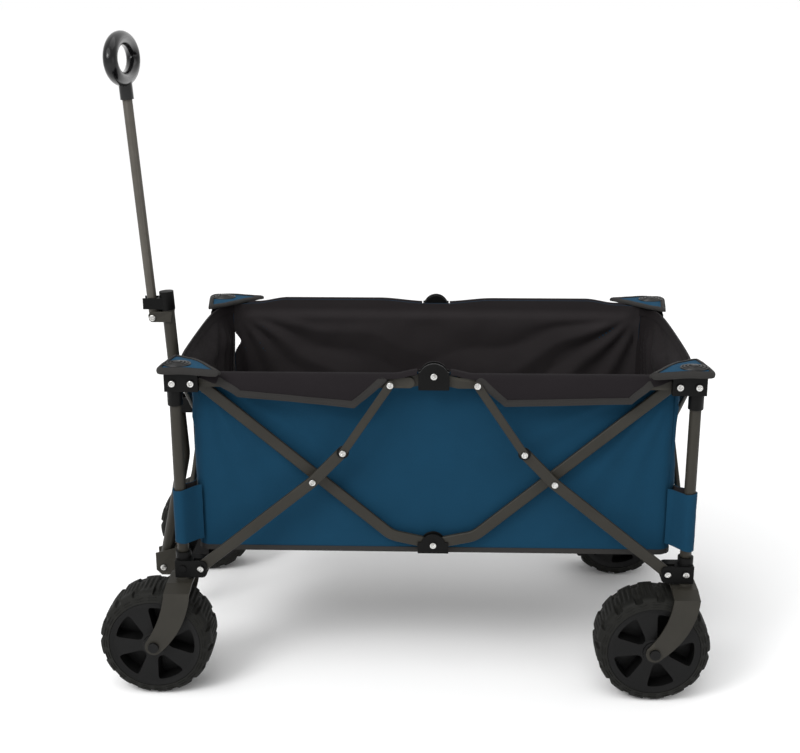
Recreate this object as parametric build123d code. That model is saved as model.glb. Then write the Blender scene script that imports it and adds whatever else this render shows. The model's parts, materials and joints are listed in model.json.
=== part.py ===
from build123d import *
import os
from math import atan2, degrees, hypot

# Beach cart: a four-wheeled folding wagon whose frame closes in length and in width together.
# Millimetres, +Z up, the front (pull handle) at -X. Lengths along X are first measured from the
# middle of the four posts and heights along Z from a level just under the wheels. ORIGIN_SHIFT and
# GROUND_Z then put the origin on the ground under the middle of the whole cart, handle included.

# ---- frame ----
POST_X = 422.9            # corner post axes
POST_Y = 234.0
POST_R = 9.5
POST_BORE_R = 8.3
POST_Z = (236.0, 541.0)   # bottom and top of the outer post
INNER_R = 7.9             # inner post, slides in the outer one
INNER_BORE_R = 6.4
INNER_Z = (300.0, 572.0)
RAIL_Z = 559.3            # upper pivots and top rail
BRACE_Z = 232.3           # lower pivots

# side linkage pivots, (x outwards from the middle, z)
UPPER_PIVOT = (392.6, RAIL_Z)
LOWER_PIVOT = (391.6, BRACE_Z)
CROSSING = (199.2, 389.1)
LONG_BEND = (70.0, 285.5)
BOTTOM_PIN = (0.0, 270.5)
TOP_PIN = (0.0, 572.8)
LINK_LOW = (148.3, 442.4)
LINK_HIGH = (70.2, 559.2)

# layers of the side linkage, as distances from the cart's middle plane
LONG_LAYER = (219.0, 226.5)
RAIL_LAYER = (231.0, 239.0)
SHORT_LAYER = (240.5, 248.5)
LINK_LAYER = (250.0, 253.0)
BLOCK_OUT = 252.5         # outer face of the corner blocks
BRACE_HALF = 9.5          # half the depth of a brace
RAIL_HALF = 9.0
LINK_HALF = 6.5
PIN_R = 4.0
PIN_HOLE_R = 4.2
HEAD_R = 6.0

# end frames: two crossed braces, the inner one ("a") and the outer one ("b")
END_PIVOT_Y = 206.0
END_LAYER = {"a": (415.0, 423.0), "b": (426.0, 434.0)}
END_HALF = 9.0
END_GAP = 16.0            # the free end stops this far short of its pivot
EAR_GAP = 0.6
EAR_T = 2.2

# ---- wheels ----
WHEEL_Y = 244.0           # middle plane of the wheels, and the fork stems
AXLE_Z = 106.0
TYRE_R = 96.0
RIM_R = 78.0
POCKET_R = 69.5           # outer edge of the pockets between the spokes
TYRE_W = 84.0
HUB_W = 90.0
AXLE_R = 5.0
FRONT_TRAIL = 47.0        # the front casters trail outwards
REAR_TRAIL = -51.6        # the rear forks reach inwards
FORK_TOP = 212.0
FORK_BEND_Z = 205.0
FORK_HALF = 50.0
FORK_NECK = 22.0
FORK_END_R = 15.0
FORK_T = 3.0
STEM_R = 6.0

# ---- handle, in the middle plane ----
HITCH_PIVOT = (-510.0, 122.0)
TUBE_R = 11.0
TUBE_POINTS = [(-513.5, 108.0), (-462.5, 345.0), (-479.0, 648.0)]
ROD_R = 8.5
ROD_PIVOT = (-503.4, 607.0)
ROD_TOP = (-528.4, 1000.0)
ROD_LENGTH = hypot(ROD_TOP[0] - ROD_PIVOT[0], ROD_TOP[1] - ROD_PIVOT[1])
GRIP_WIDTH = 184.0
GRIP_HEIGHT = 92.0
GRIP_R = 12.0
GRIP_ABOVE_ROD = 10.0

# ---- fabric tub ----
BAG_X = 401.0
BAG_Y = 213.0
BAG_Z = (258.0, 548.0)
BAG_T = 4.0
BAG_FLOOR_T = 6.0
BAG_GAP = 0.4             # between the floor and the walls

FRONT_REACH = POST_X + FRONT_TRAIL + TYRE_R
REAR_REACH = POST_X + REAR_TRAIL + TYRE_R
ORIGIN_SHIFT = (FRONT_REACH - REAR_REACH) / 2
GROUND_Z = AXLE_Z - TYRE_R
ENDS = {"front": -1, "rear": 1}
SIDES = {"near": -1, "far": 1}


def save(name, shape):
    """Writes one node, moved to the cart's own origin."""
    solids = [Pos(ORIGIN_SHIFT, 0, -GROUND_Z) * solid for solid in shape.solids()]
    export_step(solids[0] if len(solids) == 1 else Compound(children=solids), f"parts/{name}.step")


def placed(shape, sx, sy):
    """A shape drawn for the rear far corner, mirrored to another corner."""
    if sx < 0:
        shape = mirror(shape, about=Plane.YZ)
    if sy < 0:
        shape = mirror(shape, about=Plane.XZ)
    return shape


def along_y(sketch, low, high):
    """An XZ outline as a plate between two Y planes."""
    return extrude(Plane.XZ.offset(-high) * sketch, high - low)


def along_x(sketch, low, high):
    """A YZ outline as a plate between two X planes."""
    return extrude(Plane.YZ.offset(low) * sketch, high - low)


def block(x, y, z):
    """A box from three (low, high) pairs."""
    size = [high - low for low, high in (x, y, z)]
    middle = [(high + low) / 2 for low, high in (x, y, z)]
    return Pos(*middle) * Box(*size)


def pin_y(x, z, radius, low, high):
    """A round pin along Y."""
    return along_y(Pos(x, z) * Circle(radius), low, high)


def pin_x(y, z, radius, low, high):
    """A round pin along X."""
    return along_x(Pos(y, z) * Circle(radius), low, high)


def pin_z(x, y, radius, low, high):
    """A round pin along Z."""
    return Pos(x, y, (low + high) / 2) * Cylinder(radius, high - low)


def bar_outline(points, half):
    """A flat bar of one depth through the points, with round ends and bends."""
    outline = Pos(*points[0]) * Circle(half)
    for (x0, z0), (x1, z1) in zip(points, points[1:]):
        run = hypot(x1 - x0, z1 - z0)
        turn = degrees(atan2(z1 - z0, x1 - x0))
        outline += Pos((x0 + x1) / 2, (z0 + z1) / 2) * Rot(0, 0, turn) * Rectangle(run, 2 * half)
        outline += Pos(x1, z1) * Circle(half)
    return outline


def towards(start, end, distance):
    """The point at a distance from start on the way to end."""
    run = hypot(end[0] - start[0], end[1] - start[1])
    return tuple(s + (e - s) * distance / run for s, e in zip(start, end))


# ---- corner pieces ----

def post():
    outer = pin_z(POST_X, POST_Y, POST_R, *POST_Z)
    return outer - pin_z(POST_X, POST_Y, POST_BORE_R, *POST_Z)


def end_ear(z, layer, pinned):
    """Two plates on a corner block that hold one end brace, with a pin where it is hinged."""
    low, high = END_LAYER[layer]
    outline = Pos(END_PIVOT_Y, z) * Circle(10) + Pos(END_PIVOT_Y + 9, z) * Rectangle(18, 20)
    ear = along_x(outline, low - EAR_GAP - EAR_T, low - EAR_GAP)
    ear += along_x(outline, high + EAR_GAP, high + EAR_GAP + EAR_T)
    if pinned:
        ear += pin_x(END_PIVOT_Y, z, PIN_R, low - 4.5, high + 4.5)
    else:
        ear += pin_x(END_PIVOT_Y, z, HEAD_R, high + EAR_GAP, high + 4.5)
    return ear


def lower_corner(layer):
    """Plastic block at the foot of a post, with the short brace's slot and the end brace's ear."""
    body = block((381, 435), (222, BLOCK_OUT), (216, 246))
    body = fillet(body.edges().filter_by(Axis.Y).group_by(Axis.X)[0], 9)
    body += pin_z(POST_X, POST_Y, 13.0, 246, 258)
    body -= pin_z(POST_X, POST_Y, POST_R, POST_Z[0], 260)
    body -= pin_z(POST_X, WHEEL_Y, STEM_R + 0.2, 210, 232)
    body -= block((370, 404), (SHORT_LAYER[0] - 0.7, SHORT_LAYER[1] + 0.7), (210, 250))
    body += pin_y(*LOWER_PIVOT, PIN_R, 232, BLOCK_OUT)
    body += pin_y(*LOWER_PIVOT, HEAD_R, BLOCK_OUT, BLOCK_OUT + 3)
    body += pin_y(POST_X - 1, BRACE_Z, HEAD_R, BLOCK_OUT, BLOCK_OUT + 3)
    return body + end_ear(BRACE_Z, layer, True)


def upper_corner(layer):
    """Plastic block on the inner post: slot for the top rail and long brace, sleeve over the post."""
    body = block((404.5, 436), (217, BLOCK_OUT), (545, 577))
    body += block((381, 405), (239.8, BLOCK_OUT), (545, 577))
    body += block((381, 436), (215.8, 218.4), (545, 577))
    body += block((381, 436), (215.8, BLOCK_OUT), (572, 577))
    body += pin_z(POST_X, POST_Y, 12.5, 518, 546)
    body -= pin_z(POST_X, POST_Y, POST_R + 0.4, 510, 543)
    body -= pin_z(POST_X, POST_Y, INNER_R, 540, INNER_Z[1])
    body += pin_y(*UPPER_PIVOT, PIN_R, 217, BLOCK_OUT)
    body += pin_y(*UPPER_PIVOT, HEAD_R, BLOCK_OUT, BLOCK_OUT + 3)
    body += pin_y(POST_X, RAIL_Z, HEAD_R, BLOCK_OUT, BLOCK_OUT + 3)
    inner = pin_z(POST_X, POST_Y, INNER_R, *INNER_Z)
    inner -= pin_z(POST_X, POST_Y, INNER_BORE_R, *INNER_Z)
    body += end_ear(RAIL_Z, layer, False)
    return Compound(children=[*body.solids(), *inner.solids()])


# ---- side linkage ----

def long_brace():
    end = towards(LONG_BEND, BOTTOM_PIN, hypot(LONG_BEND[0], LONG_BEND[1] - BOTTOM_PIN[1]) - 22)
    bar = along_y(bar_outline([UPPER_PIVOT, CROSSING, LONG_BEND, end], BRACE_HALF), *LONG_LAYER)
    return bar - pin_y(*UPPER_PIVOT, PIN_HOLE_R, 200, 260)


def short_brace():
    bar = along_y(bar_outline([LOWER_PIVOT, CROSSING, LINK_LOW], BRACE_HALF), *SHORT_LAYER)
    bar -= pin_y(*LOWER_PIVOT, PIN_HOLE_R, 200, 260)
    return bar + pin_y(*CROSSING, HEAD_R, SHORT_LAYER[1], SHORT_LAYER[1] + 3)


def link():
    strip = along_y(bar_outline([LINK_LOW, LINK_HIGH], LINK_HALF), *LINK_LAYER)
    strip += pin_y(*LINK_LOW, HEAD_R - 1, LINK_LAYER[1], LINK_LAYER[1] + 2.5)
    return strip - pin_y(*LINK_HIGH, 3.2, 240, 260)


def top_rail(lap):
    """Top rail with a raised lug at the middle; the two rails' lugs are lapped on the top pin."""
    bar = along_y(bar_outline([UPPER_PIVOT, (40.0, RAIL_Z)], RAIL_HALF), *RAIL_LAYER)
    bar -= pin_y(*UPPER_PIVOT, PIN_HOLE_R, 200, 260)
    lug = bar_outline([(40.0, RAIL_Z), (18.0, RAIL_Z + 5), TOP_PIN], RAIL_HALF)
    bar += along_y(lug, *lap)
    bar -= pin_y(*TOP_PIN, PIN_HOLE_R, 200, 260)
    bar += pin_y(*LINK_HIGH, 3.0, RAIL_LAYER[1], LINK_LAYER[1] + 1)
    return bar + pin_y(*LINK_HIGH, HEAD_R - 1, LINK_LAYER[1] + 0.3, LINK_LAYER[1] + 2.5)


def top_hinge():
    """Two domed cheeks on the pin that joins the two top rails of a side."""
    dome = Pos(0, 569) * Circle(24) & Pos(0, 574) * Rectangle(50, 50)
    outline = Pos(0, 564) * Rectangle(50, 30) + dome
    cover = along_y(outline, RAIL_LAYER[1] + 0.6, 246.5) + along_y(outline, 227.6, RAIL_LAYER[0] - 0.6)
    cover += pin_y(*TOP_PIN, PIN_R, 228, 247)
    return cover + pin_y(*TOP_PIN, HEAD_R, 246.5, 249)


def bottom_hinge():
    """Two domed plates over the inner ends of a side's long braces."""
    dome = Pos(0, 269) * Circle(21) & Pos(0, 280) * Rectangle(50, 50)
    outline = Pos(0, 265) * Rectangle(52, 20) + dome
    cover = along_y(outline, 227.3, 230.0) + along_y(outline, 215.4, 218.2)
    cover += pin_y(*BOTTOM_PIN, PIN_R, 216, 231)
    return cover + pin_y(*BOTTOM_PIN, HEAD_R, 230, 232.6)


# ---- end frames ----

def end_brace(layer):
    """One crossed brace of an end, drawn from its hinged lower end on the near side to the far top."""
    low, high = (-END_PIVOT_Y, BRACE_Z), (END_PIVOT_Y, RAIL_Z)
    free = towards(high, low, END_GAP + END_HALF)
    bar = along_x(bar_outline([low, free], END_HALF), *END_LAYER[layer])
    bar -= pin_x(*low, PIN_HOLE_R, 400, 450)
    if layer == "b":
        bar -= pin_x(0, (BRACE_Z + RAIL_Z) / 2, PIN_HOLE_R, 400, 450)
    return bar


# ---- wheels ----

def fork_outline(axle_x):
    """Side view of a fork: straight under the corner block, then sweeping in a curve to the axle."""
    side = 1 if axle_x > POST_X else -1
    front = POST_X - side * 18
    back = POST_X + side * 25
    outer_end = (axle_x - side * (FORK_END_R - 2), AXLE_Z - 8)
    inner_end = (axle_x + side * (FORK_END_R - 2), AXLE_Z + 8)
    lines = Polyline((back, FORK_BEND_Z), (back, FORK_TOP + 1), (front, FORK_TOP + 1), (front, FORK_BEND_Z))
    lines += ThreePointArc((front, FORK_BEND_Z), (POST_X + side * 2, 139), outer_end)
    lines += Line(outer_end, inner_end)
    lines += ThreePointArc(inner_end, (POST_X + side * 40, 150), (back, FORK_BEND_Z))
    return make_face(lines) + Pos(axle_x, AXLE_Z) * Circle(FORK_END_R)


def fork(axle_x):
    """Bent steel fork with its swivel stem, around the wheel's middle plane."""
    top, bend, foot = FORK_TOP, FORK_BEND_Z, AXLE_Z - 20
    outside = [(-FORK_HALF, foot), (-FORK_HALF, bend), (-FORK_NECK, top), (FORK_NECK, top),
               (FORK_HALF, bend), (FORK_HALF, foot)]
    half, neck, top_in, bend_in = FORK_HALF - FORK_T, FORK_NECK - 1, top - 4, bend - 2
    inside = [(half, foot), (half, bend_in), (neck, top_in), (-neck, top_in), (-half, bend_in), (-half, foot)]
    channel = along_x(make_face(Polyline(*outside, *inside, close=True)), 300, 520)
    shape = Pos(0, WHEEL_Y, 0) * channel & along_y(fork_outline(axle_x), 150, 320)
    shape -= pin_y(axle_x, AXLE_Z, AXLE_R, 150, 320)
    shape += pin_z(POST_X, WHEEL_Y, 12, FORK_TOP - 0.5, FORK_TOP + 3.5)
    return shape + pin_z(POST_X, WHEEL_Y, STEM_R, FORK_TOP, 231)


def axle(axle_x):
    """Axle bolt with a domed head and a nut, through the fork's arms."""
    bolt = pin_y(axle_x, AXLE_Z, AXLE_R, WHEEL_Y - FORK_HALF - 6, WHEEL_Y + FORK_HALF)
    bolt += pin_y(axle_x, AXLE_Z, 9, WHEEL_Y + FORK_HALF, WHEEL_Y + FORK_HALF + 5)
    nut = Pos(axle_x, AXLE_Z) * RegularPolygon(8.5, 6)
    return bolt + along_y(nut, WHEEL_Y - FORK_HALF - 6, WHEEL_Y - FORK_HALF)


def wheel_hub(axle_x):
    """Moulded wheel: rim, boss and five spokes between trapezoid pockets on each face."""
    hub = Cylinder(RIM_R, TYRE_W - 8) + Cylinder(19, HUB_W)
    outer, inner = POCKET_R * 0.93, 26
    pocket = make_face(Polyline((inner, -8), (outer, -27), (POCKET_R, 0), (outer, 27), (inner, 8), close=True))
    for face in (1, -1):
        for k in range(5):
            cut = extrude(Rot(0, 0, 72 * k) * pocket, 28)
            hub -= Pos(0, 0, 12 if face > 0 else -40) * cut
    hub -= Cylinder(AXLE_R + 0.3, HUB_W + 2)
    return Pos(axle_x, WHEEL_Y, AXLE_Z) * Rot(90, 0, 0) * hub


def tyre(axle_x):
    """Tyre with a nearly flat tread, round shoulders and a bead on the rim."""
    half = TYRE_W / 2
    profile = Polyline((RIM_R, -half + 4), (RIM_R + 1, -half), (83, -half + 3), (89, -half + 12),
                       (93, -half + 22), (TYRE_R, -half + 32), (TYRE_R, half - 32), (93, half - 22),
                       (89, half - 12), (83, half - 3), (RIM_R + 1, half), (RIM_R, half - 4), close=True)
    ring = revolve(Plane.XZ * make_face(profile), Axis.Z)
    return Pos(axle_x, WHEEL_Y, AXLE_Z) * Rot(90, 0, 0) * ring


# ---- handle ----

def handle_hanger():
    """Steel strap hung from the front crossing, with the U-bracket that the handle turns in."""
    strap = bar_outline([(-438.0, 462.0), (-438.0, 345.0), (-484.5, 160.0)], 2.5)
    hanger = along_y(strap, -12, 12)
    cheek = Polyline((-488, 160), (-524, 150), (-524, 116), (-514, 106), (-484, 106), (-484, 160), close=True)
    cheeks = make_face(cheek)
    hanger += along_y(cheeks, 12.5, 15.5) + along_y(cheeks, -15.5, -12.5)
    hanger += block((-487, -482), (-15.5, 15.5), (106, 163))
    hanger += pin_y(*HITCH_PIVOT, PIN_R, -17.5, 17.5)
    middle = (BRACE_Z + RAIL_Z) / 2
    return hanger + pin_x(0, middle, PIN_R, -437, -424.5)


def front_clip():
    """Plastic clip on the strap that holds the standing handle."""
    clip = block((-452, -441), (-15.5, 15.5), (430, 458))
    clip += block((-475, -451), (11.8, 15.5), (430, 458)) + block((-475, -451), (-15.5, -11.8), (430, 458))
    return clip


def bent_tube(points, radius, wall, bend):
    """A round tube through XZ points in the middle plane."""
    path = Plane.XZ * FilletPolyline(*points, radius=bend)
    start = path @ 0
    face = Plane(origin=start, z_dir=path % 0) * (Circle(radius) - Circle(radius - wall))
    return sweep(face, path=path)


def handle_lower_tube():
    tube = bent_tube(TUBE_POINTS, TUBE_R, 1.8, 70)
    return tube - pin_y(*HITCH_PIVOT, PIN_HOLE_R, -20, 20)


def on_tube(z):
    """The lower tube's axis at a height above its bend, and its lean from the vertical."""
    (x0, z0), (x1, z1) = TUBE_POINTS[1:]
    lean = degrees(atan2(x1 - x0, z1 - z0))
    return Pos(x0 + (x1 - x0) * (z - z0) / (z1 - z0), 0, z) * Rot(0, lean, 0)


def handle_cap():
    """Plastic cap on the lower tube, with a clip that holds the upper rod upright."""
    cap = on_tube(636.5) * Cylinder(12.8, 33)
    cap += block((-494.5, -479), (-11.5, 11.5), (622, 642))
    cap -= on_tube(630) * Cylinder(TUBE_R + 0.05, 40)
    cap += block((-520, -494), (8.9, 11.5), (622, 642))
    return cap + block((-520, -494), (-11.5, -8.9), (622, 642))


def handle_bracket():
    """Steel bracket on the lower tube that carries the upper rod's pivot."""
    points = [(-468, 618), (-471, 599), (-506, 599), (-510, 603), (-511, 612), (-507, 618)]
    cheek = make_face(Polyline(*points, close=True))
    bracket = along_y(cheek, 11.1, 13.6) + along_y(cheek, -13.6, -11.1)
    return bracket + pin_y(*ROD_PIVOT, 3.0, -16, 16)


def along_rod(radius, low, high):
    """A round bar on the upper rod's axis, between two distances from the rod's pivot."""
    start, end = towards(ROD_PIVOT, ROD_TOP, low), towards(ROD_PIVOT, ROD_TOP, high)
    lean = degrees(atan2(end[0] - start[0], end[1] - start[1]))
    middle = Pos((start[0] + end[0]) / 2, 0, (start[1] + end[1]) / 2)
    return middle * Rot(0, lean, 0) * Cylinder(radius, high - low)


def handle_upper_rod():
    rod = along_rod(ROD_R, -7, ROD_LENGTH) - along_rod(ROD_R - 1.6, -7, ROD_LENGTH)
    return rod - pin_y(*ROD_PIVOT, 3.2, -20, 20)


def grip():
    """Oval grip ring in line with the rod, with a collar on the rod."""
    lean = degrees(atan2(ROD_TOP[0] - ROD_PIVOT[0], ROD_TOP[1] - ROD_PIVOT[1]))
    path = (Plane.YZ * Ellipse(GRIP_WIDTH / 2 - GRIP_R, GRIP_HEIGHT / 2 - GRIP_R)).edge()
    face = Plane(origin=path @ 0, z_dir=path % 0) * Circle(GRIP_R)
    ring = Pos(0, 0, GRIP_ABOVE_ROD + GRIP_HEIGHT / 2) * sweep(face, path=path)
    ring = Pos(ROD_TOP[0], 0, ROD_TOP[1]) * Rot(0, lean, 0) * ring
    ring += along_rod(11.5, ROD_LENGTH - 12, ROD_LENGTH + 22)
    return ring - along_rod(ROD_R + 0.05, ROD_LENGTH - 40, ROD_LENGTH)


# ---- fabric tub ----

def bag():
    """Fabric tub as five plain panels, open at the top; the floor lies between the walls."""
    x, y, (low, high) = BAG_X, BAG_Y, BAG_Z
    in_x, in_y = x - BAG_T, y - BAG_T
    panels = [block((BAG_GAP - in_x, in_x - BAG_GAP), (BAG_GAP - in_y, in_y - BAG_GAP), (low, low + BAG_FLOOR_T))]
    for s in (-1, 1):
        panels.append(block((-x, x), tuple(sorted((s * y, s * in_y))), (low, high)))
        panels.append(block(tuple(sorted((s * x, s * in_x))), (-in_y, in_y), (low, high)))
    return Compound(children=panels)


def main():
    os.makedirs("parts", exist_ok=True)
    for end, sx in ENDS.items():
        trail = FRONT_TRAIL if sx < 0 else REAR_TRAIL
        axle_x = POST_X + trail
        for side, sy in SIDES.items():
            where = f"{end}_{side}"
            low_layer, high_layer = ("b", "a") if sy < 0 else ("a", "b")
            lap = (RAIL_LAYER[0], 234.8) if sx < 0 else (235.2, RAIL_LAYER[1])
            pieces = {
                "post": post(), "lower_corner": lower_corner(low_layer), "upper_corner": upper_corner(high_layer),
                "long_brace": long_brace(), "short_brace": short_brace(), "link": link(),
                "top_rail": top_rail(lap), "fork": fork(axle_x), "axle": axle(axle_x),
                "wheel_hub": wheel_hub(axle_x), "tyre": tyre(axle_x),
            }
            for name, shape in pieces.items():
                save(f"{name}_{where}", placed(shape, sx, sy))
        save(f"end_brace_{end}_near", placed(end_brace("b"), sx, 1))
        save(f"end_brace_{end}_far", placed(end_brace("a"), sx, -1))
    for side, sy in SIDES.items():
        save(f"top_hinge_{side}", placed(top_hinge(), 1, sy))
        save(f"bottom_hinge_{side}", placed(bottom_hinge(), 1, sy))
    save("handle_hanger", handle_hanger())
    save("front_clip", front_clip())
    save("handle_lower_tube", handle_lower_tube())
    save("handle_cap", handle_cap())
    save("handle_bracket", handle_bracket())
    save("handle_upper_rod", handle_upper_rod())
    save("grip", grip())
    save("bag", bag())


main()
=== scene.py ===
"""Folding beach cart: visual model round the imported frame. Lengths below are in millimetres
unless a name ends in _M; the cart's own x and y start at the middle of its four posts."""
import json
from math import asin, atan2, copysign, cos, degrees, exp, hypot, pi, radians, sin, sqrt

import bpy
from mathutils import Matrix, Vector, noise


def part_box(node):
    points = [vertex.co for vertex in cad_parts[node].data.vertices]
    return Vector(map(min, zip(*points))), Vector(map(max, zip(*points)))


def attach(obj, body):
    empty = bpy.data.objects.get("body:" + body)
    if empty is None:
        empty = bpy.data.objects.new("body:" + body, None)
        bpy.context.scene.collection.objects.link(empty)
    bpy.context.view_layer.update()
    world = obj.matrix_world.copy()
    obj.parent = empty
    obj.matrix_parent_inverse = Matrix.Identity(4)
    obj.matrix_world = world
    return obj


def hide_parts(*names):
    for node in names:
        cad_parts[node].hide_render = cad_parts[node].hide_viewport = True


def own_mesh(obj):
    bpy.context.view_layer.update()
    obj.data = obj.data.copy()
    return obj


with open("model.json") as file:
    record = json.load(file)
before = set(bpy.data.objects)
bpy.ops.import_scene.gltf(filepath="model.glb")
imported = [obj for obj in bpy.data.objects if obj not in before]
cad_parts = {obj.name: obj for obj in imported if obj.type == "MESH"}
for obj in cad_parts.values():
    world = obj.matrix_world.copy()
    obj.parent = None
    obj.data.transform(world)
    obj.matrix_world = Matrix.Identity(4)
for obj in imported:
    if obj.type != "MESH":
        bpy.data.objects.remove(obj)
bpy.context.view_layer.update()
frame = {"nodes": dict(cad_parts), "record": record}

MM = 0.001
ENDS = {"front": -1, "rear": 1}
SIDES = {"near": -1, "far": 1}
CORNERS = [(e, s) for e in ENDS for s in SIDES]
NODES = frame["nodes"]
JOINTS = {j["name"]: j for j in frame["record"]["behaviour"]["joints"]}


def middle_m(node):
    """Middle of a CAD node's box, in metres."""
    low, high = (Vector(c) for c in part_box(node))
    return (low + high) / 2


CENTRE_X_M = (middle_m("post_front_near").x + middle_m("post_rear_near").x) / 2


def pivot(joint):
    """A joint's place as (x, y, z) from the middle of the cart, without signs."""
    x, y, z = JOINTS[joint]["pos_m"]
    return abs(x - CENTRE_X_M) / MM, abs(y) / MM, z / MM


POST_X = abs(middle_m("post_rear_far").x - CENTRE_X_M) / MM
POST_Y = middle_m("post_rear_far").y / MM
UPPER = pivot("long_brace_fold_rear_far")
LOWER = pivot("short_brace_fold_rear_far")
LINK_HIGH = pivot("link_fold_rear_far")
TOP_PIN = pivot("rail_fold_rear_far")
END_LOW = pivot("end_brace_fold_rear_far")
RAIL_Z = UPPER[2]
CROSSING = (199.2, 379.1)
LONG_BEND = (70.0, 275.5)
BOTTOM_PIN = (0.0, 260.5)
LINK_LOW = (148.3, 432.4)

BAR_EDGE = 2.6          # rounding of the flattened tubes
LAYERS = {"long": (219.0, 226.5), "rail": (231.0, 239.0), "short": (240.5, 248.5), "link": (250.0, 253.0)}
SCREW_R = 5.2
HANDLE_SCREW_R = 5.5
BLOCK_OUT = 252.5

WALL_X, WALL_Y = 400.0, 212.0     # outside of the bag
WALL_CORNER = 20.0
WALL_FOOT, WALL_TOP = 247.0, 557.0
CLOTH = 1.8
FLAP_OUT = 242.0


# ---------------------------------------------------------------- materials

def new_material(name, colour, roughness, metallic=0.0, specular=0.5):
    mat = bpy.data.materials.new(name)
    mat.use_nodes = True
    shader = mat.node_tree.nodes["Principled BSDF"]
    shader.inputs["Base Color"].default_value = (*colour, 1)
    shader.inputs["Roughness"].default_value = roughness
    shader.inputs["Metallic"].default_value = metallic
    shader.inputs["Specular IOR Level"].default_value = specular
    return mat, mat.node_tree, shader


def node(tree, kind, **inputs):
    """A shader node with named inputs: a value is set, an output socket is linked."""
    made = tree.nodes.new("ShaderNode" + kind)
    for key, value in inputs.items():
        key = key.replace("_", " ")
        if hasattr(value, "links"):
            tree.links.new(value, made.inputs[key])
        else:
            made.inputs[key].default_value = value
    return made


def coordinates(tree, kind):
    return node(tree, "TexCoord").outputs[kind]


def bump(tree, shader, height, distance, strength=1.0):
    """Fine surface relief on a shader."""
    made = node(tree, "Bump", Height=height, Distance=distance, Strength=strength)
    tree.links.new(made.outputs[0], shader.inputs["Normal"])


def ramp(tree, factor, stops):
    made = node(tree, "ValToRGB", Fac=factor)
    points = made.color_ramp.elements
    points[0].position, points[1].position = stops[0][0], stops[-1][0]
    points[0].color, points[1].color = (*stops[0][1], 1), (*stops[-1][1], 1)
    for place, colour in stops[1:-1]:
        points.new(place).color = (*colour, 1)
    return made.outputs[0]


def maths(tree, operation, first, second):
    made = tree.nodes.new("ShaderNodeMath")
    made.operation = operation
    for socket, value in zip(made.inputs, (first, second)):
        if hasattr(value, "links"):
            tree.links.new(value, socket)
        else:
            socket.default_value = value
    return made.outputs[0]


def mixed(tree, factor, first, second):
    made = tree.nodes.new("ShaderNodeMix")
    made.data_type = "RGBA"
    for place, value in ((0, factor), (6, first), (7, second)):
        if hasattr(value, "links"):
            tree.links.new(value, made.inputs[place])
        else:
            made.inputs[place].default_value = value if place == 0 else (*value, 1)
    return made.outputs[2]


def shade(colour, share):
    return tuple(c * share for c in colour)


def wave(tree, vector, direction, pitch_m):
    made = node(tree, "TexWave", Vector=vector, Scale=2 * pi / 20 / pitch_m)
    made.bands_direction = direction
    return made.outputs["Fac"]


def woven(name, colour, pitch_m=0.0011, sheen=0.02, roughness=0.8):
    """Coated oxford cloth: a basket weave in the cloth's own metres, with uneven dye."""
    mat, tree, shader = new_material(name, colour, roughness, specular=0.06)
    cloth = coordinates(tree, "UV")
    warp, weft = wave(tree, cloth, "X", pitch_m), wave(tree, cloth, "Y", pitch_m)
    weave = maths(tree, "MULTIPLY", warp, weft)
    slub = node(tree, "TexNoise", Vector=cloth, Scale=420.0, Detail=3.0).outputs["Fac"]
    dye = node(tree, "TexNoise", Vector=cloth, Scale=9.0, Detail=4.0, Roughness=0.6).outputs["Fac"]
    tint = ramp(tree, dye, [(0.3, shade(colour, 0.86)), (0.7, shade(colour, 1.12))])
    thread = ramp(tree, weave, [(0.0, shade(colour, 0.8)), (1.0, shade(colour, 1.15))])
    both = mixed(tree, 0.4, tint, thread)
    fleck = ramp(tree, slub, [(0.35, shade(colour, 0.85)), (0.65, shade(colour, 1.1))])
    tree.links.new(mixed(tree, 0.25, both, fleck), shader.inputs["Base Color"])
    height = maths(tree, "ADD", weave, maths(tree, "MULTIPLY", slub, 0.5))
    bump(tree, shader, height, 0.00025, 0.5)
    shader.inputs["Sheen Weight"].default_value = sheen
    shader.inputs["Sheen Roughness"].default_value = 0.45
    return mat


def ribbed(name, colour):
    """Woven edge tape with close ribs across it."""
    mat, tree, shader = new_material(name, colour, 0.8, specular=0.08)
    cloth = coordinates(tree, "UV")
    ribs = wave(tree, cloth, "X", 0.0014)
    fuzz = node(tree, "TexNoise", Vector=cloth, Scale=500.0, Detail=2.0).outputs["Fac"]
    tree.links.new(ramp(tree, ribs, [(0.0, shade(colour, 0.75)), (1.0, shade(colour, 1.15))]),
                   shader.inputs["Base Color"])
    bump(tree, shader, maths(tree, "ADD", ribs, fuzz), 0.0003, 0.6)
    shader.inputs["Sheen Weight"].default_value = 0.03
    return mat


def powder_coat(name, colour):
    """Fine textured powder coat on steel, a little rubbed and lighter along its edges."""
    mat, tree, shader = new_material(name, colour, 0.46, specular=0.2)
    place = coordinates(tree, "Object")
    orange_peel = node(tree, "TexNoise", Vector=place, Scale=700.0, Detail=2.0).outputs["Fac"]
    cloudy = node(tree, "TexNoise", Vector=place, Scale=14.0, Detail=4.0).outputs["Fac"]
    coat = ramp(tree, cloudy, [(0.3, shade(colour, 0.88)), (0.7, shade(colour, 1.1))])
    edge = ramp(tree, node(tree, "NewGeometry").outputs["Pointiness"], [(0.52, (0, 0, 0)), (0.6, (1, 1, 1))])
    scuff = node(tree, "TexNoise", Vector=place, Scale=90.0, Detail=6.0).outputs["Fac"]
    wear = maths(tree, "MULTIPLY", maths(tree, "MULTIPLY", edge, scuff), 0.7)
    tree.links.new(mixed(tree, wear, coat, shade(colour, 2.2)), shader.inputs["Base Color"])
    rough = ramp(tree, orange_peel, [(0.3, (0.38,) * 3), (0.7, (0.54,) * 3)])
    tree.links.new(rough, shader.inputs["Roughness"])
    bump(tree, shader, orange_peel, 0.00012, 0.5)
    return mat


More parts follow.
